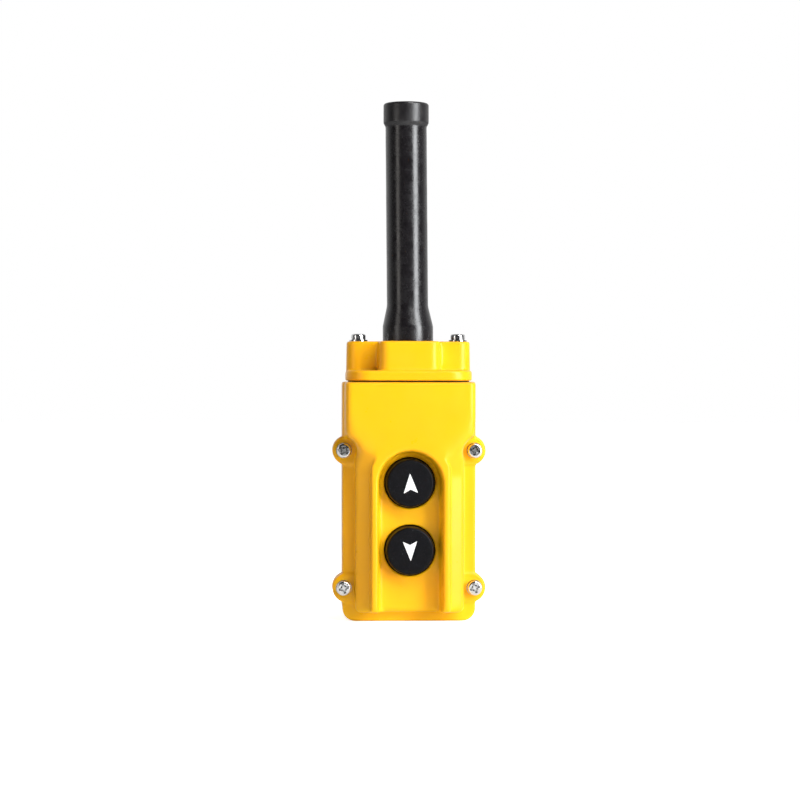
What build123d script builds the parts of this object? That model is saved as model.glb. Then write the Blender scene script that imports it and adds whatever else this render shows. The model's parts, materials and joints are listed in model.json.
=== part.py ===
from build123d import *
import math
import os

# Two-button pendant control station, millimetres.  +Z is up, the buttons face -Y.
# The origin is under the middle of the whole part, on the surface it stands on.

# ---------------------------------------------------------------- driving sizes
OVERALL_HEIGHT = 280.0
BODY_TOP = 129.0
FLANGE_HALF = 35.9
FLANGE_CORNER = 7.0
WALL = 3.0

# depth planes, from the front to the back
CREST_Y = -30.0
FLOOR_Y = -18.5
FLOOR_BACK_Y = -15.5
EAR_Y = -13.5
FLANGE_Y = -12.5
COVER_BACK_Y = -8.0
HOUSING_FRONT_Y = -7.0
LUG_BACK_Y = 2.0
HOUSING_BACK_Y = 30.0

# front cover
PANEL_HALF = 34.6
PANEL_BASE_HALF = 35.1
PANEL_EDGE_RADIUS = 3.5
TOWER_HALF = 29.0
TOWER_BOTTOM = 5.3
TOWER_TOP = 106.0
TOWER_ROUND = 3.5
RIDGE_HALF = 21.8
RIDGE_ARCH_RADIUS = 23.7
SHOULDER_Y = -24.5
SHOULDER_SLOPE = 0.486
RIDGE_DRAFT = 4.0
RIDGE_TOE_RADIUS = 4.0
RIDGE_EDGE_RADIUS = 0.9
TOE_DIP = 0.3
SHOULDER_EDGE_RADIUS = 2.6
RAMP_LOW_Z = 79.0
RAMP_TOP_Z = 93.0
WELL_HALF = 17.3
WELL_FLOOR_HALF = 16.4
WELL_FILLET = 2.2

# buttons
DOWN_Z = 38.6
UP_Z = 74.8
BUTTON_FACE_Y = -25.5
BUTTON_RADIUS = 13.2
BUTTON_FACE_RADIUS = 12.5
BUTTON_HOLE_RADIUS = 13.7
BUTTON_FLANGE_RADIUS = 14.8
BUTTON_FLANGE_Y = -13.0
BUTTON_BACK_Y = -11.5
BUTTON_HOLLOW_RADIUS = 10.6
BUTTON_CROWN = 2.2
BUTTON_TRAVEL = 4.5
ARROW_HEIGHT = 10.6
ARROW_WIDTH = 7.7
ARROW_NOTCH = 2.0
ARROW_DEPTH = 0.6
ARROW_TURN = 2.5
SEAL_RADIUS = 16.5
SEAL_BACK_Y = -13.1
STEM_RADIUS = 3.5
STEM_BACK_Y = 0.4

# bracket, contact block and contacts
BRACKET_Y = -6.5
BLOCK_Y = -5.0
BLOCK_BACK_Y = 14.0
BLOCK_HALF = 24.5
BLOCK_LOW_Z = 14.0
BLOCK_HIGH_Z = 94.0
POST_X = 21.8
POST_ZS = (18.0, 89.0)
POST_RADIUS = 3.3
M3_RADIUS = 1.5
M3_PILOT = 1.55
M3_CLEARANCE = 1.7
CHAMBER_HALF_X = 17.0
CHAMBER_HALF_Z = 8.0
CHAMBER_BACK_Y = 8.0
BRIDGE_HALF = 13.5
BRIDGE_THICK = 1.0
TIP_RADIUS = 1.8
TIP_X = 11.0
TERMINAL_X = 20.2

# ears, lugs and their M4 screws
EAR_X = 33.3
EAR_RADIUS = 8.0
SCREW_X = 35.2
SCREW_ZS = (18.1, 92.0)
SCALLOP_RADIUS = 7.2
M4_RADIUS = 2.0
M4_CLEARANCE = 2.25
M4_HEAD_RADIUS = 4.0
M4_HEAD_HEIGHT = 2.4
FLAT_WASHER_RADIUS = 4.2
FLAT_WASHER_THICK = 0.8
CAP_WASHER_RADIUS = 5.0
SPRING_WASHER_RADIUS = 3.8
SPRING_WASHER_THICK = 0.9
INSERT_RADIUS = 2.9
INSERT_LENGTH = 7.0

# top cap and cable sleeve
CAP_LOW = 129.5
CAP_FLANGE_TOP = 135.0
CAP_TOP = 150.8
CAP_HALF_X = 33.95
CAP_HALF_Y = 22.5
CAP_CORNER = 13.0
CAP_BLOCK_HALF = 16.7
CAP_BLOCK_HALF_Y = 21.0
CAP_BLOCK_CORNER = 5.5
LOBE_X = 27.0
LOBE_RADIUS = 6.8
SLEEVE_RADIUS = 11.2
SLEEVE_FOOT_RADIUS = 13.7
SLEEVE_COLLAR_RADIUS = 12.3
SLEEVE_FLANGE_RADIUS = 19.0
SLEEVE_BORE_RADIUS = 8.0
SLEEVE_LOW = 127.0
SLEEVE_FLANGE_TOP = 132.0
CLAMP_RING_TOP = 133.5
FOOT_TOP_Z = 159.0
CONE_TOP_Z = 170.0
COLLAR_LOW_Z = 264.5
COLLAR_FULL_Z = 268.8
SLEEVE_ENTRY_RADIUS = 16.0
CLAMP_Z = 108.0
CORD_RADIUS = 6.2


# ---------------------------------------------------------------- small helpers
def block(x, y, z):
    """Box between the given (low, high) pairs."""
    size = Box(x[1] - x[0], y[1] - y[0], z[1] - z[0])
    return Pos((x[0] + x[1]) / 2, (y[0] + y[1]) / 2, (z[0] + z[1]) / 2) * size


def rod_y(x, z, radius, y_front, y_back):
    """Cylinder along Y."""
    rod = Cylinder(radius, y_back - y_front)
    return Pos(x, (y_front + y_back) / 2, z) * Rot(90, 0, 0) * rod


def rod_z(x, y, radius, z_low, z_high):
    """Cylinder along Z."""
    return Pos(x, y, (z_low + z_high) / 2) * Cylinder(radius, z_high - z_low)


def plate_y(outline, y_front, y_back, taper=0.0):
    """An outline drawn in X and Z, made solid from y_back forward to y_front."""
    return extrude(Plane.XZ.offset(-y_back) * outline, y_back - y_front, taper=taper)


def plate_z(outline, z_low, z_high, taper=0.0):
    """An outline drawn in X and Y, made solid from z_low up to z_high."""
    return extrude(Pos(0, 0, z_low) * outline, z_high - z_low, taper=taper)


def join(pieces):
    """All the pieces fused together."""
    return pieces[0].fuse(*pieces[1:]) if len(pieces) > 1 else pieces[0]


def upright_outline(half_width, z_low, z_high, low_radius, high_radius):
    """Rectangle in X and Z with its own corner radii at the bottom and the top."""
    centre = (z_low + z_high) / 2
    outline = Pos(0, centre) * Rectangle(2 * half_width, z_high - z_low)
    low = outline.vertices().group_by(Axis.Y)[0]
    outline = fillet(low, low_radius)
    high = outline.vertices().group_by(Axis.Y)[-1]
    return fillet(high, high_radius)


def ear_outline(radius):
    """Four round ears in X and Z."""
    return Sketch() + [Pos(side * EAR_X, z) * Circle(radius) for side in (-1, 1) for z in SCREW_ZS]


def screw_places():
    """X and Z of the four cover screws."""
    return [(side * SCREW_X, z) for side in (-1, 1) for z in SCREW_ZS]


def cross_recess(head_radius, head_top, depth):
    """Cross-shaped driver recess in the top of a head that points up."""
    arm = 0.68 * head_radius
    width = 0.32 * head_radius
    low = head_top - depth
    bars = [Box(2 * arm, width, 2 * depth), Box(width, 2 * arm, 2 * depth)]
    core = Cone(0.15 * head_radius, 0.46 * head_radius, depth)
    pieces = [Pos(0, 0, low + depth) * bar for bar in bars] + [Pos(0, 0, low + depth / 2) * core]
    return join(pieces)


def pan_screw(radius, shank, head_radius, head_height):
    """Pan-head cross-recess screw, standing on Z = 0 with its shank below."""
    head = Pos(0, 0, head_height / 2) * Cylinder(head_radius, head_height)
    head = fillet(head.edges().group_by(Axis.Z)[-1], 0.5 * head_height)
    thread = Pos(0, 0, -shank / 2) * Cylinder(radius, shank)
    thread = chamfer(thread.edges().group_by(Axis.Z)[0], 0.4)
    return head.fuse(thread).cut(cross_recess(head_radius, head_height, 0.6 * head_height))


def washer(outer, inner, thick):
    """Flat ring standing on Z = 0."""
    ring = Pos(0, 0, thick / 2) * Cylinder(outer, thick)
    return ring.cut(Pos(0, 0, thick / 2) * Cylinder(inner, 2 * thick))


def spring_washer(outer, inner, thick):
    """Split ring standing on Z = 0."""
    slot = Pos(0, outer, thick / 2) * Rot(0, 25, 0) * Box(0.7, 2 * outer, 3 * thick)
    return washer(outer, inner, thick).cut(slot)


def facing_front(x, y, z, turn=0.0):
    """Place for something drawn along +Z that has to point at -Y."""
    return Pos(x, y, z) * Rot(90, 0, 0) * Rot(0, 0, turn)


def facing_back(x, y, z, turn=0.0):
    """Place for something drawn along +Z that has to point at +Y."""
    return Pos(x, y, z) * Rot(-90, 0, 0) * Rot(0, 0, turn)


# ---------------------------------------------------------------- front cover
def toe_face(front_y, low_z, radius):
    """What lies outside a quarter-round at a lower front corner, in Y and Z."""
    quarter = Pos(-radius, -radius) * Rectangle(2 * radius, 2 * radius) - Circle(radius)
    return Pos(front_y + radius, low_z + radius) * quarter


def shoulder_cut(side):
    """What falls away outside a ridge: a sloping shoulder and the ramp above it."""
    start_x = 14.0
    reach = 24.0
    start_y = SHOULDER_Y - SHOULDER_SLOPE * (RIDGE_HALF - start_x)
    steep = (RAMP_TOP_Z - RAMP_LOW_Z) / (SHOULDER_Y - CREST_Y)
    far_y = start_y - 30.0
    far_z = RAMP_LOW_Z + 30.0 * steep
    profile = make_face(Polyline((far_y, 0), (start_y, 0), (start_y, RAMP_LOW_Z), (far_y, far_z), close=True))
    corner = profile.vertices().sort_by_distance((start_y, RAMP_LOW_Z, 0))[0]
    profile = fillet(corner, 14.0)
    face = Plane.YZ.offset(side * start_x) * profile
    return extrude(face, reach, dir=(side, SHOULDER_SLOPE, 0))


def shoulder_toe(side):
    """Round along the lower end of a shoulder, which slopes back like the shoulder."""
    start_x = 20.0
    start_y = SHOULDER_Y - SHOULDER_SLOPE * (RIDGE_HALF - start_x)
    face = Plane.YZ.offset(side * start_x) * toe_face(start_y, TOWER_BOTTOM - TOE_DIP, TOWER_ROUND)
    return extrude(face, 12.0, dir=(side, SHOULDER_SLOPE, 0))


def toe_cut(half_width, front_y, low_z, radius):
    """Quarter-round taken off a lower front edge that runs along X."""
    face = Plane.YZ.offset(-half_width) * toe_face(front_y, low_z, radius)
    return extrude(face, 2 * half_width)


def ridge_island():
    """The U-shaped raised wall round the two buttons, before the well is cut."""
    low = TOWER_BOTTOM + 0.2
    straight = Pos(0, (low + UP_Z) / 2) * Rectangle(2 * RIDGE_HALF, UP_Z - low)
    arch = Pos(0, UP_Z) * Circle(RIDGE_ARCH_RADIUS)
    limit = Pos(0, 60) * Rectangle(2 * RIDGE_HALF, 120)
    solid = plate_y((straight + arch) & limit, CREST_Y, FLOOR_Y + 1.0, taper=RIDGE_DRAFT)
    solid = solid.cut(toe_cut(30, CREST_Y, low - TOE_DIP, RIDGE_TOE_RADIUS))
    crest = solid.faces().sort_by(Axis.Y)[0].edges()
    return fillet(crest.filter_by(lambda e: e.center().Z > low + 10), RIDGE_EDGE_RADIUS)


def well_cut():
    """The finger well: a trough open at its lower end, round about the upper button."""
    lip = 0.9
    front = CREST_Y - 1.0
    half = Polyline(
        (0, front), (WELL_HALF + lip + 1.0, front), (WELL_HALF + lip, CREST_Y),
        (WELL_HALF, CREST_Y + lip), (WELL_FLOOR_HALF, FLOOR_Y), (0, FLOOR_Y), close=True)
    face = make_face(half)
    corner = face.vertices().sort_by_distance((WELL_FLOOR_HALF, FLOOR_Y, 0))[0]
    face = fillet(corner, WELL_FILLET)
    lip_corner = face.vertices().sort_by_distance((WELL_HALF, CREST_Y + lip, 0))[0]
    face = fillet(lip_corner, 1.0)
    trough = extrude(Pos(0, 0, -1) * face, UP_Z + 1)
    both = trough.fuse(mirror(trough, Plane.YZ))
    arch = revolve(Pos(0, 0, UP_Z) * face, Axis((0, 0, UP_Z), (0, 1, 0)), 360)
    toe = toe_cut(WELL_FLOOR_HALF - WELL_FILLET, FLOOR_Y, TOWER_BOTTOM - TOE_DIP, TOWER_ROUND)
    return both.fuse(arch, toe)


def tower():
    """The raised lower part of the cover, with its ridges, shoulders and well."""
    outline = upright_outline(TOWER_HALF, TOWER_BOTTOM, TOWER_TOP, 3.0, 0.5)
    body = plate_y(outline, CREST_Y, FLANGE_Y + 1)
    body = body.cut(shoulder_cut(-1), shoulder_cut(1))
    sides = body.edges().filter_by(GeomType.LINE).filter_by(lambda e: abs(abs(e.center().X) - TOWER_HALF) < 0.05)
    long_sides = sides.filter_by(lambda e: e.length > 40 and e.center().Y < FLANGE_Y - 2)
    body = fillet(long_sides, SHOULDER_EDGE_RADIUS)
    body = body.cut(shoulder_toe(-1), shoulder_toe(1))
    return body.fuse(ridge_island())


def label_block():
    """The wide raised part under the label panel."""
    draft = math.degrees(math.atan((PANEL_BASE_HALF - PANEL_HALF) / (FLANGE_Y - CREST_Y)))
    outline = Pos(0, (SCREW_ZS[1] + BODY_TOP) / 2) * Rectangle(2 * PANEL_BASE_HALF, BODY_TOP - SCREW_ZS[1])
    solid = plate_y(outline, CREST_Y, FLANGE_Y + 1, taper=draft)
    uprights = solid.edges().filter_by(lambda e: e.center().Y < CREST_Y + 0.1 and abs(e.center().X) > 30)
    solid = fillet(uprights, PANEL_EDGE_RADIUS)
    top = solid.edges().filter_by(lambda e: e.center().Z > BODY_TOP - 1.5 and e.center().Y < CREST_Y + 3)
    return fillet(top.sort_by(SortBy.LENGTH)[-1:], 0.9)


def scallops():
    """Round clearances for the upper screw heads."""
    return [rod_y(side * SCREW_X, SCREW_ZS[1], SCALLOP_RADIUS, CREST_Y - 2, EAR_Y) for side in (-1, 1)]


def cover_cavity():
    """The hollow behind the well floor and behind the label panel."""
    tower_half = TOWER_HALF - WALL
    low = block((-tower_half, tower_half), (FLOOR_BACK_Y, COVER_BACK_Y + 1), (TOWER_BOTTOM + WALL, BLOCK_HIGH_Z + 2))
    upper_low = UP_Z + RIDGE_ARCH_RADIUS + 1.5
    upper = block((-25.0, 25.0), (CREST_Y + WALL, COVER_BACK_Y + 1), (upper_low, BODY_TOP - WALL))
    wide = block((-31.0, 31.0), (FLOOR_BACK_Y, COVER_BACK_Y + 1), (upper_low + 3, BODY_TOP - WALL))
    return low.fuse(upper, wide)


def cover_bosses():
    """Rings that hold the button seals and posts that take the block screws."""
    rings = []
    for z in (DOWN_Z, UP_Z):
        ring = rod_y(0, z, SEAL_RADIUS + 2.0, FLOOR_BACK_Y - 0.5, SEAL_BACK_Y + 0.6)
        rings.append(ring.cut(rod_y(0, z, SEAL_RADIUS + 0.1, FLOOR_BACK_Y - 1, SEAL_BACK_Y + 1)))
    posts = []
    for side in (-1, 1):
        for z in POST_ZS:
            post = rod_y(side * POST_X, z, POST_RADIUS, FLOOR_BACK_Y - 0.5, BRACKET_Y)
            posts.append(post.cut(rod_y(side * POST_X, z, M3_PILOT, FLOOR_BACK_Y + 1.5, BRACKET_Y + 1)))
    return rings + posts


def front_cover():
    flange_line = upright_outline(FLANGE_HALF, 0, BODY_TOP, FLANGE_CORNER, 1.0)
    flange = plate_y(flange_line, FLANGE_Y, COVER_BACK_Y)
    flange = fillet(flange.edges().group_by(Axis.Y)[0], 0.8)
    ears = plate_y(ear_outline(EAR_RADIUS), EAR_Y, COVER_BACK_Y)
    ears = fillet(ears.edges().group_by(Axis.Y)[0], 0.8)
    pads = [block((side * 31 - 3.5, side * 31 + 3.5), (EAR_Y, COVER_BACK_Y - 1), (z - 7.8, z + 7.8))
            for side in (-1, 1) for z in SCREW_ZS]
    solid = flange.fuse(ears, *pads, tower(), label_block())
    solid = solid.cut(well_cut(), *scallops(), cover_cavity())
    solid = solid.fuse(*cover_bosses())
    holes = [rod_y(0, z, BUTTON_HOLE_RADIUS, CREST_Y, COVER_BACK_Y) for z in (DOWN_Z, UP_Z)]
    holes += [rod_y(x, z, M4_CLEARANCE, CREST_Y, COVER_BACK_Y + 1) for x, z in screw_places()]
    entry = rod_z(0, 0, SLEEVE_ENTRY_RADIUS, BODY_TOP - WALL - 2, BODY_TOP + 1)
    return solid.cut(*holes, entry)


# ---------------------------------------------------------------- rear housing
def rear_shell():
    """The deep rear moulding, rounded at the back."""
    outline = upright_outline(FLANGE_HALF - 0.3, 0, BODY_TOP, FLANGE_CORNER, 1.0)
    shell = plate_y(outline, HOUSING_FRONT_Y, HOUSING_BACK_Y)
    shell = fillet(shell.edges().group_by(Axis.Y)[-1], 5.0)
    inside = upright_outline(FLANGE_HALF - 0.3 - WALL, WALL, BODY_TOP - WALL, 5.0, 1.0)
    hollow = plate_y(inside, HOUSING_FRONT_Y - 1, HOUSING_BACK_Y - WALL)
    hollow = fillet(hollow.edges().group_by(Axis.Y)[-1], 2.5)
    return shell.cut(hollow)


def rear_lugs():
    """Round lugs behind the ears, each running into the wall."""
    lugs = plate_y(ear_outline(EAR_RADIUS), HOUSING_FRONT_Y, LUG_BACK_Y)
    return fillet(lugs.edges().group_by(Axis.Y)[-1], 2.0)


def cap_bosses():
    """Posts under the top wall that take the cap screws."""
    bosses = []
    for side in (-1, 1):
        column = rod_z(side * LOBE_X, 0, 5.0, BODY_TOP - 18, BODY_TOP - 1)
        web = block(sorted((side * LOBE_X, side * 34.0)), (-4.0, 4.0), (BODY_TOP - 18, BODY_TOP - 1))
        bosses.append(column.fuse(web))
    return bosses


def cord_saddle():
    """Rest for the cord, with a post at each side for the strap screws."""
    rest = block((-10, 10), (3.0, HOUSING_BACK_Y - 1), (CLAMP_Z - 5, CLAMP_Z + 5))
    rest = rest.cut(rod_z(0, 0, CORD_RADIUS, CLAMP_Z - 6, CLAMP_Z + 6))
    posts = [rod_y(side * 13.5, CLAMP_Z, 4.0, 3.0, HOUSING_BACK_Y - 1) for side in (-1, 1)]
    pilots = [rod_y(side * 13.5, CLAMP_Z, M3_PILOT, 2.0, 16.0) for side in (-1, 1)]
    return rest.fuse(*posts).cut(*pilots)


def rear_housing():
    solid = rear_shell().fuse(rear_lugs(), *cap_bosses(), cord_saddle())
    holes = [rod_y(x, z, INSERT_RADIUS, HOUSING_FRONT_Y - 1, HOUSING_FRONT_Y + INSERT_LENGTH)
             for x, z in screw_places()]
    holes += [rod_z(side * LOBE_X, 0, INSERT_RADIUS, BODY_TOP - INSERT_LENGTH, BODY_TOP + 1) for side in (-1, 1)]
    entry = rod_z(0, 0, SLEEVE_ENTRY_RADIUS, BODY_TOP - WALL - 2, BODY_TOP + 1)
    return solid.cut(*holes, entry)


# ---------------------------------------------------------------- gaskets and inserts
def body_gasket():
    outline = upright_outline(FLANGE_HALF - 0.9, 0.6, BODY_TOP - 0.4, FLANGE_CORNER - 0.6, 0.8)
    outline += ear_outline(EAR_RADIUS - 0.6)
    outline -= upright_outline(31.6, WALL + 0.4, BODY_TOP - WALL - 0.4, 4.6, 1.0)
    ring = plate_y(outline, COVER_BACK_Y, HOUSING_FRONT_Y)
    holes = [rod_y(x, z, M4_CLEARANCE, COVER_BACK_Y - 1, HOUSING_FRONT_Y + 1) for x, z in screw_places()]
    entry = rod_z(0, 0, SLEEVE_ENTRY_RADIUS, BODY_TOP - WALL - 2, BODY_TOP + 1)
    return ring.cut(*holes, entry)


def cap_gasket():
    outline = RectangleRounded(2 * CAP_HALF_X - 3.0, 2 * CAP_HALF_Y - 3.0, CAP_CORNER - 1.5)
    outline -= Circle(SLEEVE_ENTRY_RADIUS)
    outline -= [Pos(side * LOBE_X, 0) * Circle(M4_CLEARANCE) for side in (-1, 1)]
    return plate_z(outline, BODY_TOP, CAP_LOW)


def threaded_insert():
    """Knurled brass sleeve below Z = 0."""
    body = Pos(0, 0, -INSERT_LENGTH / 2) * Cylinder(INSERT_RADIUS, INSERT_LENGTH)
    groove = Pos(0, 0, -INSERT_LENGTH / 2) * Cylinder(INSERT_RADIUS + 1, 1.0)
    groove = groove.cut(Pos(0, 0, -INSERT_LENGTH / 2) * Cylinder(INSERT_RADIUS - 0.4, 2.0))
    bore = Pos(0, 0, -INSERT_LENGTH / 2) * Cylinder(M4_RADIUS + 0.02, 2 * INSERT_LENGTH)
    return body.cut(groove, bore)


def cover_inserts():
    return [facing_front(x, HOUSING_FRONT_Y, z) * threaded_insert() for x, z in screw_places()]


def cap_inserts():
    return [Pos(side * LOBE_X, 0, BODY_TOP) * threaded_insert() for side in (-1, 1)]


# ---------------------------------------------------------------- top cap and sleeve
def top_cap():
    flange = plate_z(RectangleRounded(2 * CAP_HALF_X, 2 * CAP_HALF_Y, CAP_CORNER), CAP_LOW, CAP_FLANGE_TOP)
    flange = fillet(flange.edges().group_by(Axis.Z)[-1], 1.2)
    crown = RectangleRounded(2 * CAP_BLOCK_HALF, 2 * CAP_BLOCK_HALF_Y, CAP_BLOCK_CORNER)
    crown = plate_z(crown, CAP_LOW + 1, CAP_TOP, taper=0.8)
    crown = fillet(crown.edges().group_by(Axis.Z)[-1], 0.9)
    arms = plate_z(SlotOverall(2 * (LOBE_X + LOBE_RADIUS), 2 * LOBE_RADIUS), CAP_LOW + 1, CAP_TOP, taper=0.8)
    arms = fillet(arms.edges().group_by(Axis.Z)[-1], 0.9)
    solid = flange.fuse(crown, arms)
    recess = rod_z(0, 0, SLEEVE_FLANGE_RADIUS + 0.3, CAP_LOW - 1, CLAMP_RING_TOP)
    bore = rod_z(0, 0, SLEEVE_FOOT_RADIUS + 0.25, CAP_LOW - 1, CAP_TOP + 1)
    screws = [rod_z(side * LOBE_X, 0, M4_CLEARANCE, CAP_LOW - 1, CAP_TOP + 1) for side in (-1, 1)]
    return solid.cut(recess, bore, *screws)


def cable_sleeve():
    """Rubber tube that the cord comes down through, turned about the Z axis."""
    outer = Polyline(
        (SLEEVE_BORE_RADIUS, SLEEVE_LOW), (SLEEVE_FOOT_RADIUS, SLEEVE_LOW), (SLEEVE_FOOT_RADIUS, CAP_LOW),
        (SLEEVE_FLANGE_RADIUS, CAP_LOW), (SLEEVE_FLANGE_RADIUS, SLEEVE_FLANGE_TOP),
        (SLEEVE_FOOT_RADIUS, SLEEVE_FLANGE_TOP), (SLEEVE_FOOT_RADIUS, FOOT_TOP_Z),
        (SLEEVE_RADIUS, CONE_TOP_Z), (SLEEVE_RADIUS, COLLAR_LOW_Z), (SLEEVE_COLLAR_RADIUS, COLLAR_FULL_Z),
        (SLEEVE_COLLAR_RADIUS, OVERALL_HEIGHT), (SLEEVE_BORE_RADIUS, OVERALL_HEIGHT), close=True)
    face = make_face(outer)
    for r, z, rounding in (
            (SLEEVE_FOOT_RADIUS, FOOT_TOP_Z, 6.0), (SLEEVE_RADIUS, CONE_TOP_Z, 12.0),
            (SLEEVE_RADIUS, COLLAR_LOW_Z, 5.0), (SLEEVE_COLLAR_RADIUS, COLLAR_FULL_Z, 4.0),
            (SLEEVE_COLLAR_RADIUS, OVERALL_HEIGHT, 1.4), (SLEEVE_BORE_RADIUS, OVERALL_HEIGHT, 0.8)):
        corner = face.vertices().sort_by_distance((r, z, 0))[0]
        face = fillet(corner, rounding)
    return revolve(Plane.XZ * face, Axis.Z, 360)


def sleeve_clamp_ring():
    ring = rod_z(0, 0, SLEEVE_FLANGE_RADIUS, SLEEVE_FLANGE_TOP, CLAMP_RING_TOP)
    return ring.cut(rod_z(0, 0, SLEEVE_FOOT_RADIUS + 0.3, CAP_LOW, CAP_TOP))


# ---------------------------------------------------------------- buttons
def button_cap(z):
    """Hollow cup with a rounded rim and a retaining flange at the back."""
    skirt = BUTTON_BACK_Y - BUTTON_FACE_Y
    side = Polyline(
        (0, 0), (BUTTON_FLANGE_RADIUS, 0), (BUTTON_FLANGE_RADIUS, BUTTON_BACK_Y - BUTTON_FLANGE_Y),
        (BUTTON_RADIUS, BUTTON_BACK_Y - BUTTON_FLANGE_Y), (BUTTON_RADIUS, skirt - 6.5),
        (BUTTON_FACE_RADIUS, skirt), (0, skirt), close=True)
    face = make_face(side)
    rim = face.vertices().sort_by_distance((BUTTON_FACE_RADIUS, skirt, 0))[0]
    cup = revolve(Plane.XZ * fillet(rim, 1.1), Axis.Z, 360)
    hollow = Pos(0, 0, (skirt - BUTTON_CROWN) / 2) * Cylinder(BUTTON_HOLLOW_RADIUS, skirt - BUTTON_CROWN)
    socket = Pos(0, 0, skirt - BUTTON_CROWN - 2.0) * Cylinder(STEM_RADIUS + 1.6, 4.0)
    socket = socket.cut(Pos(0, 0, skirt - BUTTON_CROWN - 2.0) * Cylinder(STEM_RADIUS, 4.1))
    cup = cup.cut(hollow).fuse(socket)
    cup = facing_front(0, BUTTON_BACK_Y, z) * cup
    return cup.cut(arrow(z))


def arrow(z):
    """Arrowhead inlay, pointing up on the upper button and down on the lower one."""
    way = 1 if z == UP_Z else -1
    half = ARROW_HEIGHT / 2
    points = [(0, half), (ARROW_WIDTH / 2, -half), (0, ARROW_NOTCH - half), (-ARROW_WIDTH / 2, -half)]
    outline = make_face(Polyline(*[(x, way * h) for x, h in points], close=True))
    outline = fillet(outline.vertices(), 0.15)
    return plate_y(Pos(0, z) * Rot(0, 0, ARROW_TURN) * outline, BUTTON_FACE_Y, BUTTON_FACE_Y + ARROW_DEPTH)


def plunger(z):
    """Stem from the cap to the bridge, with a shoulder that carries the bridge."""
    crown_y = BUTTON_FACE_Y + BUTTON_CROWN
    stem = rod_y(0, z, STEM_RADIUS - 0.05, crown_y, STEM_BACK_Y)
    nose = rod_y(0, z, 2.0, STEM_BACK_Y, STEM_BACK_Y + 2.6)
    return stem.fuse(nose)


def contact_bridge(z):
    """Brass strip across the plunger with a tip near each end."""
    strip = block((-BRIDGE_HALF, BRIDGE_HALF), (STEM_BACK_Y, STEM_BACK_Y + BRIDGE_THICK), (z - 3.2, z + 3.2))
    strip = fillet(strip.edges().filter_by(Axis.Y), 1.5)
    strip = strip.cut(rod_y(0, z, 2.05, STEM_BACK_Y - 1, STEM_BACK_Y + 3))
    return strip


def bridge_tips(z):
    """Silver tips on the bridge."""
    low = STEM_BACK_Y + BRIDGE_THICK
    return [rod_y(side * TIP_X, z, TIP_RADIUS, low, low + 0.9) for side in (-1, 1)]


def button_seal(z):
    ring = rod_y(0, z, SEAL_RADIUS, FLOOR_BACK_Y, SEAL_BACK_Y)
    return ring.cut(rod_y(0, z, BUTTON_RADIUS + 0.3, FLOOR_BACK_Y - 1, SEAL_BACK_Y + 1))


def return_spring(z):
    """Open coil between the bracket and the crown of the cap."""
    wire = 0.55
    coil_radius = 6.4
    low = BUTTON_FACE_Y + BUTTON_CROWN + wire
    high = BRACKET_Y - wire
    turns = 5
    path = Helix((high - low) / turns, high - low, coil_radius)
    coil = sweep(Plane(path @ 0, z_dir=path % 0) * Circle(wire), path)
    return Pos(0, high, z) * Rot(90, 0, 0) * coil


# ---------------------------------------------------------------- bracket, block and contacts
def button_bracket():
    """Pressed steel plate that guides both stems."""
    outline = upright_outline(BLOCK_HALF, BLOCK_LOW_Z, BLOCK_HIGH_Z, 3.0, 3.0)
    plate = plate_y(outline, BRACKET_Y, BLOCK_Y)
    holes = [rod_y(0, z, STEM_RADIUS + 0.3, BRACKET_Y - 1, BLOCK_Y + 1) for z in (DOWN_Z, UP_Z)]
    holes += [rod_y(side * POST_X, z, M3_CLEARANCE, BRACKET_Y - 1, BLOCK_Y + 1) for side in (-1, 1) for z in POST_ZS]
    return plate.cut(*holes)


def contact_block():
    """Phenolic block with a chamber behind each button and four terminal seats."""
    outline = upright_outline(BLOCK_HALF, BLOCK_LOW_Z, BLOCK_HIGH_Z, 3.0, 3.0)
    solid = plate_y(outline, BLOCK_Y, BLOCK_BACK_Y)
    cuts = []
    for z in (DOWN_Z, UP_Z):
        cuts.append(block((-CHAMBER_HALF_X, CHAMBER_HALF_X), (BLOCK_Y - 1, CHAMBER_BACK_Y),
                          (z - CHAMBER_HALF_Z, z + CHAMBER_HALF_Z)))
        cuts.append(block((-BLOCK_HALF - 1, BLOCK_HALF + 1), (CHAMBER_BACK_Y - 1.0, CHAMBER_BACK_Y), (z - 4, z + 4)))
        cuts.append(rod_y(0, z, 3.0, CHAMBER_BACK_Y - 1, BLOCK_BACK_Y - 2))
        for side in (-1, 1):
            cuts.append(rod_y(side * TERMINAL_X, z, 1.8, CHAMBER_BACK_Y - 1, BLOCK_BACK_Y + 1))
            cuts.append(block(sorted((side * 15.5, side * 25.5)), (BLOCK_BACK_Y - 2.5, BLOCK_BACK_Y + 1), (z - 5, z + 5)))
    for side in (-1, 1):
        for z in POST_ZS:
            cuts.append(rod_y(side * POST_X, z, M3_CLEARANCE, BLOCK_Y - 1, BLOCK_BACK_Y + 1))
            cuts.append(rod_y(side * POST_X, z, 3.4, BLOCK_BACK_Y - 4, BLOCK_BACK_Y + 1))
    cuts.append(block((-12, 12), (BLOCK_BACK_Y - 5, BLOCK_BACK_Y + 1), (DOWN_Z + 10, UP_Z - 10)))
    return solid.cut(*cuts)


def fixed_contacts():
    """Brass strip from each chamber out to its terminal seat."""
    strips = []
    for z in (DOWN_Z, UP_Z):
        for side in (-1, 1):
            strip = block(sorted((side * 8.5, side * 23.5)), (CHAMBER_BACK_Y - 1.0, CHAMBER_BACK_Y), (z - 3.5, z + 3.5))
            strips.append(strip.cut(rod_y(side * TERMINAL_X, z, 1.5, 0, BLOCK_BACK_Y)))
    return strips


def terminal_places():
    return [(side * TERMINAL_X, z) for z in (DOWN_Z, UP_Z) for side in (-1, 1)]


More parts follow.
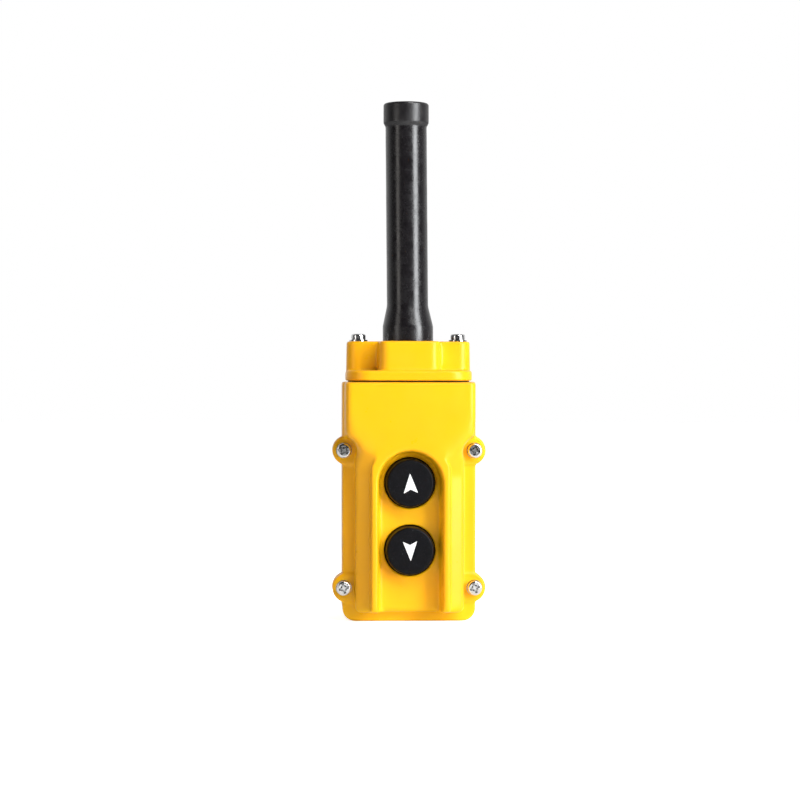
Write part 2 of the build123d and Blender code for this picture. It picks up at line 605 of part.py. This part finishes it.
def terminal_clamps():
    """Square wire clamps under the terminal screw heads."""
    seat = BLOCK_BACK_Y - 2.5
    plates = []
    for x, z in terminal_places():
        plate = block((x - 3.8, x + 3.8), (seat, seat + 1.0), (z - 3.8, z + 3.8))
        plates.append(plate.cut(rod_y(x, z, 1.8, seat - 1, seat + 2)))
    return plates


def terminal_screws():
    seat = BLOCK_BACK_Y - 1.5
    return [facing_back(x, seat, z, 20 * i) * pan_screw(M3_RADIUS, seat - CHAMBER_BACK_Y + 1.0, 3.1, 2.0)
            for i, (x, z) in enumerate(terminal_places())]


def block_screws():
    seat = BLOCK_BACK_Y - 4.0
    reach = seat - (FLOOR_BACK_Y + 2.0)
    return [facing_back(side * POST_X, seat, z, 35 * side) * pan_screw(M3_RADIUS, reach, 3.0, 2.2)
            for side in (-1, 1) for z in POST_ZS]


def cord_clamp():
    """Steel strap over the cord, on the two posts of the saddle."""
    thick = 1.5
    foot = 3.0
    outer = CORD_RADIUS + thick
    arch = Circle(outer) + Pos(0, foot / 2) * Rectangle(2 * outer, foot) + \
        Pos(0, foot - thick / 2) * Rectangle(36.0, thick)
    hole = Circle(CORD_RADIUS) + Pos(0, CORD_RADIUS) * Rectangle(2 * CORD_RADIUS, 2 * CORD_RADIUS)
    limit = Pos(0, foot - 20) * Rectangle(60, 40)
    strap = plate_z((arch - hole) & limit, CLAMP_Z - 4, CLAMP_Z + 4)
    return strap.cut(*[rod_y(side * 13.5, CLAMP_Z, M3_CLEARANCE, 0, 5) for side in (-1, 1)])


def clamp_screws():
    return [facing_front(side * 13.5, 1.5, CLAMP_Z, 30 * side) * pan_screw(M3_RADIUS, 12.0, 3.0, 2.0) for side in (-1, 1)]


# ---------------------------------------------------------------- outside screws
def cover_washers():
    """Flat washer and split washer under each cover screw."""
    rings = []
    for x, z in screw_places():
        rings.append(facing_front(x, EAR_Y, z) * washer(FLAT_WASHER_RADIUS, M4_CLEARANCE, FLAT_WASHER_THICK))
        split = spring_washer(SPRING_WASHER_RADIUS, M4_CLEARANCE, SPRING_WASHER_THICK)
        rings.append(facing_front(x, EAR_Y - FLAT_WASHER_THICK, z, 60) * split)
    return rings


def cover_screws():
    seat = EAR_Y - FLAT_WASHER_THICK - SPRING_WASHER_THICK
    shank = HOUSING_FRONT_Y + 6.0 - seat
    turns = (15, 52, 20, 78)
    return [facing_front(x, seat, z, turn) * pan_screw(M4_RADIUS, shank, M4_HEAD_RADIUS, M4_HEAD_HEIGHT)
            for (x, z), turn in zip(screw_places(), turns)]


def cap_washers():
    rings = []
    for side in (-1, 1):
        rings.append(Pos(side * LOBE_X, 0, CAP_TOP) * washer(CAP_WASHER_RADIUS, M4_CLEARANCE, FLAT_WASHER_THICK))
        split = spring_washer(SPRING_WASHER_RADIUS, M4_CLEARANCE, SPRING_WASHER_THICK)
        rings.append(Pos(side * LOBE_X, 0, CAP_TOP + FLAT_WASHER_THICK) * Rot(0, 0, 100 * side) * split)
    return rings


def cap_screws():
    seat = CAP_TOP + FLAT_WASHER_THICK + SPRING_WASHER_THICK
    shank = seat - (BODY_TOP - 6.0)
    return [Pos(side * LOBE_X, 0, seat) * Rot(0, 0, 25 * side)
            * pan_screw(M4_RADIUS, shank, M4_HEAD_RADIUS, M4_HEAD_HEIGHT) for side in (-1, 1)]


# ---------------------------------------------------------------- write the nodes
def write(name, shape):
    """One STEP file for each named sub-part; a list becomes a group of solids."""
    solid = Compound(children=shape) if isinstance(shape, list) else shape
    export_step(solid, f"parts/{name}.step")


os.makedirs("parts", exist_ok=True)

write("front_cover", front_cover())
write("rear_housing", rear_housing())
write("body_gasket", body_gasket())
write("top_cap", top_cap())
write("cap_gasket", cap_gasket())
write("cable_sleeve", cable_sleeve())
write("sleeve_clamp_ring", sleeve_clamp_ring())
for button, height in (("up", UP_Z), ("down", DOWN_Z)):
    write(f"{button}_button_cap", button_cap(height))
    write(f"{button}_arrow", arrow(height))
    write(f"{button}_button_seal", button_seal(height))
    write(f"{button}_plunger", plunger(height))
    write(f"{button}_return_spring", return_spring(height))
    write(f"{button}_contact_bridge", contact_bridge(height))
    write(f"{button}_bridge_tips", bridge_tips(height))
write("button_bracket", button_bracket())
write("contact_block", contact_block())
write("fixed_contacts", fixed_contacts())
write("terminal_clamps", terminal_clamps())
write("terminal_screws", terminal_screws())
write("block_screws", block_screws())
write("cord_clamp", cord_clamp())
write("clamp_screws", clamp_screws())
write("cover_inserts", cover_inserts())
write("cap_inserts", cap_inserts())
write("cover_screws", cover_screws())
write("cover_washers", cover_washers())
write("cap_screws", cap_screws())
write("cap_washers", cap_washers())
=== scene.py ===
import json
import math

import bmesh
import bpy
import numpy as np
from mathutils import Matrix, Vector


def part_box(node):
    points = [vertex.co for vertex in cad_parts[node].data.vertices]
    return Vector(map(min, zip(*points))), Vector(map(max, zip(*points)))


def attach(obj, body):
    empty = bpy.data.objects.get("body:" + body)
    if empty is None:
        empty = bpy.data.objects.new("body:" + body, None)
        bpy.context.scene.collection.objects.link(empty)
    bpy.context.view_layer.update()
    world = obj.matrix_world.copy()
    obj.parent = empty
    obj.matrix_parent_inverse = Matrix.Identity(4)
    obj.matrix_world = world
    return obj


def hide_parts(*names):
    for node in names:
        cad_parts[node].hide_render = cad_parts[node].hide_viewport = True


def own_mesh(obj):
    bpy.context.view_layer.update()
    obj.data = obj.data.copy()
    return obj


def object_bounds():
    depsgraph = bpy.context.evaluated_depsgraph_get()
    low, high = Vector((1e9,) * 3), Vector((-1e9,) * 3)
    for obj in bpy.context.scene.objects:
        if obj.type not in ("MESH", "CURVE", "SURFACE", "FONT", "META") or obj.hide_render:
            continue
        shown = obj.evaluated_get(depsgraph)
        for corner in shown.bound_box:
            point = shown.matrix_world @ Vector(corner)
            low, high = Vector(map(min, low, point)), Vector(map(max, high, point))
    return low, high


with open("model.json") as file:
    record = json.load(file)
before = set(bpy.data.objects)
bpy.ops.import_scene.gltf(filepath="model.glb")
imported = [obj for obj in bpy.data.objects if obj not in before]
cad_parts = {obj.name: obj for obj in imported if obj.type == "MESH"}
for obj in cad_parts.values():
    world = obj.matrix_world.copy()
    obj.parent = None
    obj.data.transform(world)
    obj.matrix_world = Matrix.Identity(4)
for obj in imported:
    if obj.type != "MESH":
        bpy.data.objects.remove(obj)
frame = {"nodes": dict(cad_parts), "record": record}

# Two-button pendant control station: looks only.  Metres, +Z up, buttons face -Y.

CAD_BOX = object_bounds()
NODES = frame["nodes"]
SLOT_OF = {s["node"]: s["material_slot"] for s in frame["record"]["subparts"]}
MM = 0.001

# Camera: metres and degrees.  A negative azimuth is to the left of the front.
SENSOR_WIDTH_MM = 36.0
LENS_MM = 100.3
CAMERA_DISTANCE = 1.212
CAMERA_AZIMUTH = -2.8
CAMERA_ROLL = 0.08
CAMERA_RISE = 0.008         # of the distance
AIM_X = -0.0044
AIM_HEIGHT = 0.425          # of the object's height
CLIP_NEAR, CLIP_FAR = 0.05, 20

# Studio
STUDIO_DIM, STUDIO_BRIGHT = 0.03, 0.85      # in front of the object and behind it
STUDIO_FRONT_Y, STUDIO_BACK_Y = -0.2, 0.7   # directions between which it brightens
FLOOR_RADIUS = 6.0
FLOOR_GREY = 0.90
FLOOR_LIFT = 0.75           # light that only the view sees

# Materials
NOISE_LOW, NOISE_HIGH = 0.3, 0.7            # most of a noise lies between these
OPENNESS_SAMPLES = 8
COLLAR_DULL_FROM, COLLAR_DULL_TO = 14 * MM, 10 * MM     # below the sleeve's mouth

# Soft shells: places and widths where a shell gives more than elsewhere.  Places are in X and Z.
VOXEL = 0.4 * MM
EVEN_PASSES, BROW_PASSES, CAP_PASSES = 11, 300, 80
BROW_LOW, BROW_HIGH = np.array((19.0, 88.5)) * MM, np.array((29.0, 100.0)) * MM
BROW_REACH, BROW_FADE = 10.8 * MM, 8.0 * MM
BROW_BEHIND_Y, BROW_BEHIND_FADE = -16.0 * MM, 3.0 * MM
ARCH_MIDDLE = np.array((0.0, 74.8)) * MM
ARCH_REACH = 24.0 * MM
CAP_STEP_X, CAP_REACH, CAP_FADE = 17.5 * MM, 6.5 * MM, 5.0 * MM
CAP_LOW, CAP_HIGH = 136.5 * MM, 149.5 * MM
SHORT_FADE = 2.0 * MM

# Sleeve: the collar's outline as depths below the mouth, in CAD and as it is shown.
COLLAR_CAD = np.array((25.0, 15.5, 11.2, 0.0)) * MM
COLLAR_SHOWN = np.array((25.0, 12.8, 10.6, 0.0)) * MM
LEAN, LEAN_POWER = 1.3 * MM, 2.2

# Return springs
WIRE_RADIUS = 0.55 * MM
SPRING_TURNS = 6
CLOSED_TURNS = 0.5          # at each end
WIRE_SIDES, STEPS_PER_TURN = 10, 28


# ---------------------------------------------------------------- camera
def place_camera():
    """Long lens a little to the left of the front, level with the top of the case."""
    azimuth = math.radians(CAMERA_AZIMUTH)
    aim = Vector((AIM_X, 0.0, CAD_BOX[1].z * AIM_HEIGHT))
    eye = aim + CAMERA_DISTANCE * Vector((math.sin(azimuth), -math.cos(azimuth), CAMERA_RISE))
    data = bpy.data.cameras.new("camera")
    data.sensor_width = SENSOR_WIDTH_MM
    data.lens = LENS_MM
    camera = bpy.data.objects.new("camera", data)
    bpy.context.scene.collection.objects.link(camera)
    camera.location = eye
    camera.rotation_mode = "QUATERNION"
    camera.rotation_quaternion = (aim - eye).to_track_quat("-Z", "Y")
    camera.rotation_mode = "XYZ"
    camera.rotation_euler.rotate_axis("Z", math.radians(CAMERA_ROLL))
    data.clip_start = CLIP_NEAR
    data.clip_end = CLIP_FAR
    bpy.context.scene.camera = camera


# ---------------------------------------------------------------- lights and floor
def area_light(name, where, aim, width, height, power, colour):
    """A rectangular softbox that faces its aim.  Metres and watts."""
    data = bpy.data.lights.new(name, "AREA")
    data.shape = "RECTANGLE"
    data.size = width
    data.size_y = height
    data.energy = power
    data.color = colour
    light = bpy.data.objects.new(name, data)
    bpy.context.scene.collection.objects.link(light)
    light.location = where
    light.rotation_mode = "QUATERNION"
    light.rotation_quaternion = (Vector(aim) - Vector(where)).to_track_quat("-Z", "Y")


def around(azimuth, distance, height):
    """A place round the object; azimuth 0 is straight in front and positive is to the right."""
    turn = math.radians(azimuth)
    return (distance * math.sin(turn), -distance * math.cos(turn), height)


def place_lights():
    """A tall bright softbox on the right, a weaker warm one on the left, and one from above."""
    middle = (0, 0, 0.15)
    area_light("key_right", around(48.7, 0.95, 0.22), middle,
               width=0.38, height=1.1, power=18.0, colour=(0.96, 0.98, 1.0))
    area_light("fill_left", around(-53.3, 1.0, 0.22), middle,
               width=0.26, height=1.0, power=1.9, colour=(1.0, 0.96, 0.91))
    area_light("front_soft", (0.40, -0.72, 0.95), middle,
               width=0.5, height=0.5, power=8.0, colour=(1.0, 1.0, 1.0))
    bpy.context.scene.view_settings.view_transform = "Standard"


def place_world():
    """White backdrop behind the object and a dim studio in front; the view itself sees plain white."""
    world = bpy.data.worlds.new("studio")
    bpy.context.scene.world = world
    world.use_nodes = True
    tree = world.node_tree
    background = tree.nodes["Background"]
    direction = tree.nodes.new("ShaderNodeTexCoord").outputs["Generated"]
    split = tree.nodes.new("ShaderNodeSeparateXYZ")
    tree.links.new(direction, split.inputs[0])
    depth = tree.nodes.new("ShaderNodeMapRange")
    depth.interpolation_type = "SMOOTHSTEP"
    depth.inputs["From Min"].default_value = STUDIO_FRONT_Y
    depth.inputs["From Max"].default_value = STUDIO_BACK_Y
    depth.inputs["To Min"].default_value = STUDIO_DIM
    depth.inputs["To Max"].default_value = STUDIO_BRIGHT
    tree.links.new(split.outputs["Y"], depth.inputs["Value"])
    seen = tree.nodes.new("ShaderNodeLightPath").outputs["Is Camera Ray"]
    pick = tree.nodes.new("ShaderNodeMix")
    tree.links.new(seen, pick.inputs[0])
    tree.links.new(depth.outputs["Result"], pick.inputs[2])
    pick.inputs[3].default_value = 1.0
    tree.links.new(pick.outputs[0], background.inputs["Strength"])
    background.inputs["Color"].default_value = (1.0, 1.0, 1.0, 1.0)


def place_floor():
    """Plain pale floor.  The view sees it lifted to white, which the object doesn't."""
    mesh = bmesh.new()
    bmesh.ops.create_circle(mesh, cap_ends=True, segments=64, radius=FLOOR_RADIUS)
    data = bpy.data.meshes.new("floor")
    mesh.to_mesh(data)
    mesh.free()
    floor = bpy.data.objects.new("floor", data)
    bpy.context.scene.collection.objects.link(floor)
    material = bpy.data.materials.new("floor_paper")
    material.use_nodes = True
    tree = material.node_tree
    shader = tree.nodes["Principled BSDF"]
    shader.inputs["Base Color"].default_value = (FLOOR_GREY, FLOOR_GREY, FLOOR_GREY, 1)
    shader.inputs["Roughness"].default_value = 0.9
    shader.inputs["Emission Color"].default_value = (1, 1, 1, 1)
    lift = tree.nodes.new("ShaderNodeMath")
    lift.operation = "MULTIPLY"
    lift.inputs[1].default_value = FLOOR_LIFT
    seen = tree.nodes.new("ShaderNodeLightPath").outputs["Is Camera Ray"]
    tree.links.new(seen, lift.inputs[0])
    tree.links.new(lift.outputs[0], shader.inputs["Emission Strength"])
    data.materials.append(material)


# ---------------------------------------------------------------- materials
class Shader:
    """A Principled material with short calls for the nodes that feed it."""

    def __init__(self, name, **sockets):
        self.material = bpy.data.materials.new(name)
        self.material.use_nodes = True
        self.tree = self.material.node_tree
        self.bsdf = self.tree.nodes["Principled BSDF"]
        self.place = self.tree.nodes.new("ShaderNodeTexCoord").outputs["Object"]
        for socket, value in sockets.items():
            self.bsdf.inputs[socket.replace("_", " ")].default_value = value

    def noise(self, size_mm, detail=3.0, rough=0.55, stretch=None):
        """Noise whose lumps are about size_mm across."""
        node = self.tree.nodes.new("ShaderNodeTexNoise")
        node.inputs["Scale"].default_value = 1.0 / (size_mm * MM)
        node.inputs["Detail"].default_value = detail
        node.inputs["Roughness"].default_value = rough
        source = self.place
        if stretch:
            mapping = self.tree.nodes.new("ShaderNodeMapping")
            mapping.inputs["Scale"].default_value = stretch
            self.tree.links.new(source, mapping.inputs["Vector"])
            source = mapping.outputs["Vector"]
        self.tree.links.new(source, node.inputs["Vector"])
        return node.outputs["Fac"]

    def height(self):
        """Height above the floor, in metres."""
        node = self.tree.nodes.new("ShaderNodeSeparateXYZ")
        self.tree.links.new(self.place, node.inputs[0])
        return node.outputs["Z"]

    def openness(self, reach_mm):
        """One in the open, towards zero in a recess about reach_mm across."""
        node = self.tree.nodes.new("ShaderNodeAmbientOcclusion")
        node.samples = OPENNESS_SAMPLES
        node.inputs["Distance"].default_value = reach_mm * MM
        return node.outputs["AO"]

    def spread(self, value, low_in, high_in, low_out=0, high_out=1):
        """The value moved from one range to another, and held inside it."""
        node = self.tree.nodes.new("ShaderNodeMapRange")
        node.inputs["From Min"].default_value = low_in
        node.inputs["From Max"].default_value = high_in
        node.inputs["To Min"].default_value = low_out
        node.inputs["To Max"].default_value = high_out
        self.tree.links.new(value, node.inputs["Value"])
        return node.outputs["Result"]

    def vary(self, noise, low_out=0, high_out=1):
        """The noise stretched so that most of it lies between two values."""
        return self.spread(noise, NOISE_LOW, NOISE_HIGH, low_out, high_out)

    def times(self, noise, factor):
        """The noise, which lies between 0 and 1, made weaker or stronger."""
        return self.spread(noise, 0, 1, 0, factor)

    def blend(self, amount, colour_a, colour_b):
        """From colour_a at 0 to colour_b at 1.  Either may be another node's output."""
        node = self.tree.nodes.new("ShaderNodeMix")
        node.data_type = "RGBA"
        for socket, colour in ((node.inputs[6], colour_a), (node.inputs[7], colour_b)):
            if isinstance(colour, tuple):
                socket.default_value = (*colour, 1)
            else:
                self.tree.links.new(colour, socket)
        self.tree.links.new(amount, node.inputs[0])
        return node.outputs[2]

    def add(self, a, b):
        """The sum of two nodes' outputs."""
        node = self.tree.nodes.new("ShaderNodeMath")
        node.operation = "ADD"
        self.tree.links.new(a, node.inputs[0])
        self.tree.links.new(b, node.inputs[1])
        return node.outputs[0]

    def feed(self, socket, value):
        """The value goes into a socket of the Principled node."""
        self.tree.links.new(value, self.bsdf.inputs[socket])

    def bump(self, height, depth_mm):
        """Relief of depth_mm where the height goes from 0 to 1."""
        node = self.tree.nodes.new("ShaderNodeBump")
        node.inputs["Distance"].default_value = depth_mm * MM
        node.inputs["Strength"].default_value = 1.0
        self.tree.links.new(height, node.inputs["Height"])
        self.feed("Normal", node.outputs["Normal"])


def yellow_shell():
    """Moulded yellow plastic: slightly uneven colour and gloss, and a faint ripple.

    Recesses take a painted lighter yellow, which offsets the shade in them and how orange their bounced
    light would make them.
    """
    s = Shader("yellow_shell", Specular_IOR_Level=0.26)
    plain = s.blend(s.vary(s.noise(38, 2)), (0.90, 0.415, 0.003), (0.96, 0.45, 0.006))
    # painted light: recesses are lifted to a lighter yellow against their shade
    s.feed("Base Color", s.blend(s.spread(s.openness(22), 0.45, 0.85), (0.96, 0.53, 0.006), plain))
    s.feed("Roughness", s.vary(s.noise(9, 4), 0.27, 0.40))
    s.bump(s.add(s.times(s.noise(14, 2), 1), s.times(s.noise(0.35, 2), 0.05)), 0.05)
    return s.material


def black_rubber():
    """Extruded rubber with fine pits that catch the light, duller on the collar at its mouth."""
    s = Shader("black_rubber", Specular_IOR_Level=0.55)
    grain = s.noise(0.7, 4, 0.7)
    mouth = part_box("cable_sleeve")[1].z
    dull = s.spread(s.height(), mouth - COLLAR_DULL_FROM, mouth - COLLAR_DULL_TO, 0, 0.11)
    s.feed("Base Color", s.blend(s.spread(grain, 0.62, 0.8), (0.006, 0.005, 0.006), (0.035, 0.032, 0.035)))
    s.feed("Roughness", s.add(dull, s.vary(s.noise(5, 3), 0.18, 0.32)))
    s.bump(s.add(s.spread(grain, 0.35, 0.75), s.times(s.noise(4.5, 3), 5)), 0.012)
    return s.material


def black_plastic():
    """Satin button plastic with a fine spark-eroded texture and a few specks of dust."""
    s = Shader("black_plastic", Specular_IOR_Level=0.14)
    grain = s.noise(0.9, 3, 0.65)
    plain = s.blend(s.spread(grain, 0.5, 0.8), (0.002, 0.002, 0.003), (0.008, 0.008, 0.011))
    s.feed("Base Color", s.blend(s.spread(s.noise(1.4, 2), 0.70, 0.76), plain, (0.045, 0.045, 0.05)))
    s.feed("Roughness", s.vary(s.noise(3, 3), 0.36, 0.5))
    s.bump(grain, 0.05)
    return s.material


def mottled(name, roughness, mottle, dark, light, ripple, depth_mm):
    """A plain finish: mottle and ripple are the settings of the noise in its colour and in its relief."""
    s = Shader(name, Roughness=roughness)
    s.feed("Base Color", s.blend(s.noise(*mottle), dark, light))
    s.bump(s.noise(*ripple), depth_mm)
    return s.material


def metal(name, dark, light, rough_low, rough_high, grain_mm, depth_mm, stretch=None, recess_shade=None):
    """Metal with a mottled plate, fine tool marks and, if asked, painted shade in its recesses."""
    s = Shader(name, Metallic=1.0)
    colour = s.blend(s.noise(grain_mm * 3, 3), dark, light)
    if recess_shade:
        # painted shade: recesses darken towards the given colour
        colour = s.blend(s.spread(s.openness(1.4), 0.25, 0.85), recess_shade, colour)
    s.feed("Base Color", colour)
    s.feed("Roughness", s.vary(s.noise(grain_mm, 3), rough_low, rough_high))
    s.bump(s.noise(grain_mm, 3, stretch=stretch), depth_mm)
    return s.material


MATERIALS = {
    "yellow_shell": yellow_shell(),
    "black_rubber": black_rubber(),
    "black_plastic": black_plastic(),
    "gasket_rubber": mottled("gasket_rubber", 0.75, (1.2, 3), (0.010, 0.010, 0.010), (0.028, 0.027, 0.026),
                             (0.5, 3), 0.05),
    "white_inlay": mottled("white_inlay", 0.45, (2.0, 3), (0.80, 0.80, 0.80), (0.90, 0.90, 0.90),
                           (0.6, 2), 0.02),
    "stem_plastic": mottled("stem_plastic", 0.4, (6, 2), (0.68, 0.67, 0.62), (0.76, 0.75, 0.71),
                            (1.0, 2), 0.02),
    "phenolic": mottled("phenolic", 0.45, (1.5, 5, 0.7), (0.10, 0.035, 0.018), (0.17, 0.07, 0.035),
                        (0.8, 3), 0.04),
    "spring_steel": metal("spring_steel", (0.42, 0.42, 0.43), (0.60, 0.60, 0.61), 0.2, 0.35, 0.8, 0.01),
    "brass": metal("brass", (0.66, 0.44, 0.14), (0.86, 0.62, 0.26), 0.22, 0.4, 1.5, 0.01),
    "silver_tip": metal("silver_tip", (0.75, 0.74, 0.72), (0.88, 0.87, 0.85), 0.2, 0.35, 0.8, 0.01),
    "plated_steel": metal("plated_steel", (0.50, 0.51, 0.53), (0.66, 0.67, 0.69), 0.28, 0.45, 2.0, 0.02,
                          stretch=(1, 1, 6)),
    # the screws' recesses take a painted shade colour
    "zinc_screw": metal("zinc_screw", (0.55, 0.55, 0.54), (0.90, 0.90, 0.90), 0.10, 0.22, 1.2, 0.012,
                        recess_shade=(0.035, 0.03, 0.025)),
}


def dress_nodes():
    """Every CAD node takes the material of its slot."""
    for name, node in NODES.items():
        node.data.materials.clear()
        node.data.materials.append(MATERIALS[SLOT_OF[name]])


# ---------------------------------------------------------------- mesh work
def stand_for(node, data, body="station"):
    """A new piece that takes a CAD node's place, its body and its finish."""
    piece = bpy.data.objects.new(node + "_skin", data)
    bpy.context.scene.collection.objects.link(piece)
    data.materials.clear()
    data.materials.append(MATERIALS[SLOT_OF[node]])
    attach(piece, body)
    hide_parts(node)
    return piece


def remeshed(node):
    """The node's shape as an even grid of small faces."""
    source = NODES[node]
    grid = source.modifiers.new("grid", "REMESH")
    grid.mode = "VOXEL"
    grid.voxel_size = VOXEL
    grid.use_smooth_shade = True
    graph = bpy.context.evaluated_depsgraph_get()
    data = bpy.data.meshes.new_from_object(source.evaluated_get(graph), depsgraph=graph)
    source.modifiers.remove(grid)
    return data


def relax(data, passes, weight=None):
    """Even out the vertices; weight says how much each one gives, from 0 to 1."""
    count = len(data.vertices)
    points = np.empty(count * 3)
    data.vertices.foreach_get("co", points)
    points = points.reshape(-1, 3)
    edges = np.empty(len(data.edges) * 2, dtype=np.int64)
    data.edges.foreach_get("vertices", edges)
    a, b = edges.reshape(-1, 2).T
    share = 0.5 / np.maximum(np.bincount(np.concatenate((a, b)), minlength=count), 1)
    if weight is not None:
        share = share * weight(points)
        busy = np.nonzero(share > 1e-6)[0]
        keep = np.isin(a, busy) | np.isin(b, busy)
        a, b = a[keep], b[keep]
    for _ in range(passes):
        step = points[b] - points[a]
        for k in range(3):
            pull = np.bincount(a, step[:, k], count) - np.bincount(b, step[:, k], count)
            points[:, k] += share * pull
    data.vertices.foreach_set("co", points.ravel())
    data.update()


def ramp(value, start, width):
    """Zero before start, one from start + width on.  A negative width runs the other way."""
    return np.clip((value - start) / width, 0, 1)


def off_segment(points, start, end):
    """Distance of each point from the line between two places in X and Z, on either side of X = 0."""
    flat = np.stack((np.abs(points[:, 0]), points[:, 2]), axis=1)
    run = end - start
    along = np.clip((flat - start) @ run / (run @ run), 0, 1)
    return np.linalg.norm(flat - (start + along[:, None] * run), axis=1)


def brow_weight(points):
    """High along the two lines where the label face falls away to the shoulders."""
    near = ramp(off_segment(points, BROW_LOW, BROW_HIGH), BROW_REACH, -BROW_FADE)
    from_arch = np.linalg.norm(points[:, [0, 2]] - ARCH_MIDDLE, axis=1)
    outside = ramp(from_arch, ARCH_REACH, SHORT_FADE)
    front = ramp(points[:, 1], BROW_BEHIND_Y, -BROW_BEHIND_FADE)
    return near * outside * front


def cap_weight(points):
    """High where the cap's middle block meets its screw lobes, above the flange."""
    beside = ramp(np.abs(np.abs(points[:, 0]) - CAP_STEP_X), CAP_REACH, -CAP_FADE)
    above = ramp(points[:, 2], CAP_LOW, SHORT_FADE)
    below = ramp(points[:, 2], CAP_HIGH, -SHORT_FADE)
    return beside * above * below


def soft_shells():
    """The yellow mouldings with every edge and inside corner rounded, as a mould leaves them."""
    for node in ("front_cover", "rear_housing", "top_cap"):
        data = remeshed(node)
        if node == "front_cover":
            relax(data, BROW_PASSES, brow_weight)
        if node == "top_cap":
            relax(data, CAP_PASSES, cap_weight)
        relax(data, EVEN_PASSES)
        stand_for(node, data)


def leaning_sleeve():
    """The rubber sleeve bends a touch to the left towards its mouth, with a short step below its collar."""
    node = NODES["cable_sleeve"]
    data = node.data.copy()
    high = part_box("cable_sleeve")[1]
    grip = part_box("top_cap")[1].z
    collar, shown = high.z - COLLAR_CAD, high.z - COLLAR_SHOWN
    for vertex in data.vertices:
        if vertex.co.z > collar[0]:
            vertex.co.z = np.interp(vertex.co.z, collar, shown)
        rise = max(0.0, vertex.co.z - grip) / (high.z - grip)
        vertex.co.x -= LEAN * (1 - (1 - rise) ** LEAN_POWER)
    stand_for("cable_sleeve", data)


def spring_mesh(low, high, radius):
    """Coil along Y with closed, flattened ends, as one tube."""
    steps = SPRING_TURNS * STEPS_PER_TURN
    closed = CLOSED_TURNS * STEPS_PER_TURN
    mesh = bmesh.new()
    rings = []
    for i in range(steps + 1):
        turn = 2 * math.pi * i / STEPS_PER_TURN
        lift = min(max((i - closed) / (steps - 2 * closed), 0.0), 1.0)
        y = low + WIRE_RADIUS + lift * (high - low - 2 * WIRE_RADIUS)
        out = Vector((math.cos(turn), 0, math.sin(turn)))
        middle = radius * out + Vector((0, y, 0))
        ring = []
        for k in range(WIRE_SIDES):
            spin = 2 * math.pi * k / WIRE_SIDES
            across = math.cos(spin) * out + Vector((0, math.sin(spin), 0))
            ring.append(mesh.verts.new(middle + WIRE_RADIUS * across))
        rings.append(ring)
    for one, two in zip(rings, rings[1:]):
        for k in range(WIRE_SIDES):
            after = (k + 1) % WIRE_SIDES
            mesh.faces.new((one[k], one[after], two[after], two[k]))
    mesh.faces.new(reversed(rings[0]))
    mesh.faces.new(rings[-1])
    bmesh.ops.recalc_face_normals(mesh, faces=mesh.faces)
    for face in mesh.faces:
        face.smooth = len(face.verts) == 4
    data = bpy.data.meshes.new("return_spring")
    mesh.to_mesh(data)
    mesh.free()
    return data


def return_springs():
    """Coils in place of the up and down buttons' return springs."""
    for button in ("up", "down"):
        node = f"{button}_return_spring"
        low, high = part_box(node)
        data = spring_mesh(low.y, high.y, (high.x - low.x) / 2 - WIRE_RADIUS)
        data.transform(Matrix.Translation((0, 0, (low.z + high.z) / 2)))
        piece = stand_for(node, data)
        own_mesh(piece)


place_camera()
place_lights()
place_world()
place_floor()
dress_nodes()
soft_shells()
leaning_sleeve()
return_springs()
